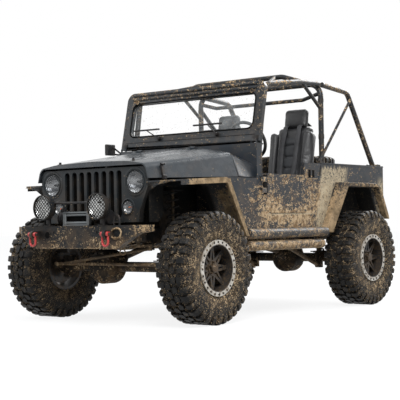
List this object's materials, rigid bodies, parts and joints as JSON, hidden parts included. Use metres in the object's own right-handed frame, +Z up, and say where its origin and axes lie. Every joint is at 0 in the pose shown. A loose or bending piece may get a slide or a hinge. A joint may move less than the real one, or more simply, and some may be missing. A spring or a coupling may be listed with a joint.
{
  "type": "off-road vehicle",
  "caption": "Open off-road vehicle with a full-width roll cage, folding windscreen, half doors, winch bumper and large mud tyres on steered and driven live axles",
  "frame": {"origin": "on the ground under the middle of the vehicle, halfway between the axles", "axes": "the vehicle faces -Y, its left side is +X and +Z is up"},
  "size_m": [1.964, 3.7999, 2.148],
  "materials": {
    "body_paint": "satin charcoal paint with dried mud",
    "frame_black": "satin black, dusty",
    "axle_black": "dark cast metal with dried mud",
    "link_steel": "dull steel, dusty",
    "spring_black": "black coated wire",
    "engine_grey": "dull casting",
    "exhaust_steel": "heat stained",
    "tank_black": "matte",
    "tyre_black": "matte rubber with dried mud in the grooves",
    "rim_gunmetal": "dark satin wheel with a pale ring",
    "lamp_glass": "clear lens over a reflector",
    "tail_red": "red lens",
    "core_black": "dark fins",
    "flare_tan": "charcoal plastic with tan mud",
    "bumper_black": "textured black with tan dust",
    "shackle_red": "coral red enamel",
    "winch_steel": "dull silver rollers and dark housing",
    "cage_black": "satin black tube",
    "seat_fabric": "dark grey weave",
    "dash_grey": "grained dark grey",
    "wheel_black": "black soft grip",
    "trim_black": "black",
    "pane": "clear, slightly dusty"
  },
  "bodies": {
    "root": {"cage_hoop": "cage_black", "cage_rear_braces": "cage_black", "cage_roof_tubes": "cage_black", "cage_side_tubes": "cage_black", "chassis_frame": "frame_black", "dashboard": "dash_grey", "exhaust": "exhaust_steel", "front_axle": "axle_black", "front_bumper": "bumper_black", "front_fenders": "body_paint", "front_lamps": "lamp_glass", "front_suspension": "spring_black", "fuel_tank": "tank_black", "grille": "body_paint", "mirror": "trim_black", "powertrain": "engine_grey", "radiator": "core_black", "rear_axle": "axle_black", "rear_bumper": "bumper_black", "rear_flares": "flare_tan", "rear_suspension": "spring_black", "rocker_guards": "bumper_black", "seats": "seat_fabric", "shackles": "shackle_red", "spare_wheel": "tyre_black", "spot_lamps": "lamp_glass", "steering_box": "axle_black", "tail_lamps": "tail_red", "tub": "body_paint", "winch": "winch_steel"},
    "knuckle_left": {"knuckle_left": "axle_black"},
    "knuckle_right": {"knuckle_right": "axle_black"},
    "wheel_front_left": {"tyre_front_left": "tyre_black", "rim_front_left": "rim_gunmetal"},
    "wheel_front_right": {"tyre_front_right": "tyre_black", "rim_front_right": "rim_gunmetal"},
    "wheel_rear_left": {"tyre_rear_left": "tyre_black", "rim_rear_left": "rim_gunmetal"},
    "wheel_rear_right": {"tyre_rear_right": "tyre_black", "rim_rear_right": "rim_gunmetal"},
    "steering_links": {"steering_links": "link_steel"},
    "pitman_arm": {"pitman_arm": "link_steel"},
    "steering_wheel": {"steering_wheel": "wheel_black"},
    "door_left": {"door_left": "body_paint"},
    "door_right": {"door_right": "body_paint"},
    "hood": {"hood": "body_paint"},
    "windscreen": {"windscreen_frame": "body_paint", "windscreen_glass": "pane", "wipers": "trim_black"},
    "tailgate": {"tailgate": "body_paint"}
  },
  "joints": [
    {"name": "steer_left", "type": "hinge", "parent": "root", "child": "knuckle_left", "pos_m": [0.69, -1.2, 0.4445], "axis": [0, 0, 1], "range_deg": [-30, 30]},
    {"name": "steer_right", "type": "hinge", "parent": "root", "child": "knuckle_right", "pos_m": [-0.69, -1.2, 0.4445], "axis": [0, 0, 1], "range_deg": [-30, 30]},
    {"name": "steering_links_slide", "type": "slide", "parent": "root", "child": "steering_links", "axis": [1, 0, 0], "range_m": [-0.072, 0.072]},
    {"name": "pitman_swing", "type": "hinge", "parent": "root", "child": "pitman_arm", "pos_m": [0.385, -1.48, 0.622], "axis": [0, 0, 1], "range_deg": [-30, 30]},
    {"name": "steering_wheel_turn", "type": "hinge", "parent": "root", "child": "steering_wheel", "pos_m": [0.385, 0.02, 1.53], "axis": [0, 0.866, 0.5], "range_deg": [-360, 360]},
    {"name": "wheel_spin_front_left", "type": "hinge", "parent": "knuckle_left", "child": "wheel_front_left", "pos_m": [0.83, -1.2, 0.4445], "axis": [1, 0, 0], "continuous": true},
    {"name": "wheel_spin_front_right", "type": "hinge", "parent": "knuckle_right", "child": "wheel_front_right", "pos_m": [-0.83, -1.2, 0.4445], "axis": [1, 0, 0], "continuous": true},
    {"name": "wheel_spin_rear_left", "type": "hinge", "parent": "root", "child": "wheel_rear_left", "pos_m": [0.83, 1.2, 0.4445], "axis": [1, 0, 0], "continuous": true},
    {"name": "wheel_spin_rear_right", "type": "hinge", "parent": "root", "child": "wheel_rear_right", "pos_m": [-0.83, 1.2, 0.4445], "axis": [1, 0, 0], "continuous": true},
    {"name": "door_left_hinge", "type": "hinge", "parent": "root", "child": "door_left", "pos_m": [0.785, -0.339, 1.08], "axis": [0, 0, -1], "range_deg": [0, 70]},
    {"name": "door_right_hinge", "type": "hinge", "parent": "root", "child": "door_right", "pos_m": [-0.785, -0.339, 1.08], "axis": [0, 0, 1], "range_deg": [0, 70]},
    {"name": "hood_hinge", "type": "hinge", "parent": "root", "child": "hood", "pos_m": [0, -0.666, 1.44], "axis": [-1, 0, 0], "range_deg": [0, 60]},
    {"name": "windscreen_fold", "type": "hinge", "parent": "root", "child": "windscreen", "pos_m": [0, -0.388, 1.486], "axis": [-1, 0, 0], "range_deg": [-102, 0]},
    {"name": "tailgate_hinge", "type": "hinge", "parent": "root", "child": "tailgate", "pos_m": [0, 1.769, 0.827], "axis": [-1, 0, 0], "range_deg": [0, 90]}
  ],
  "couplings": [
    {"joint": "steer_right", "follows": "steer_left", "ratio": 1},
    {"joint": "steering_links_slide", "follows": "steer_left", "m_per_rad": 0.135},
    {"joint": "pitman_swing", "follows": "steer_left", "ratio": -1},
    {"joint": "steering_wheel_turn", "follows": "steer_left", "ratio": 12}
  ]
}
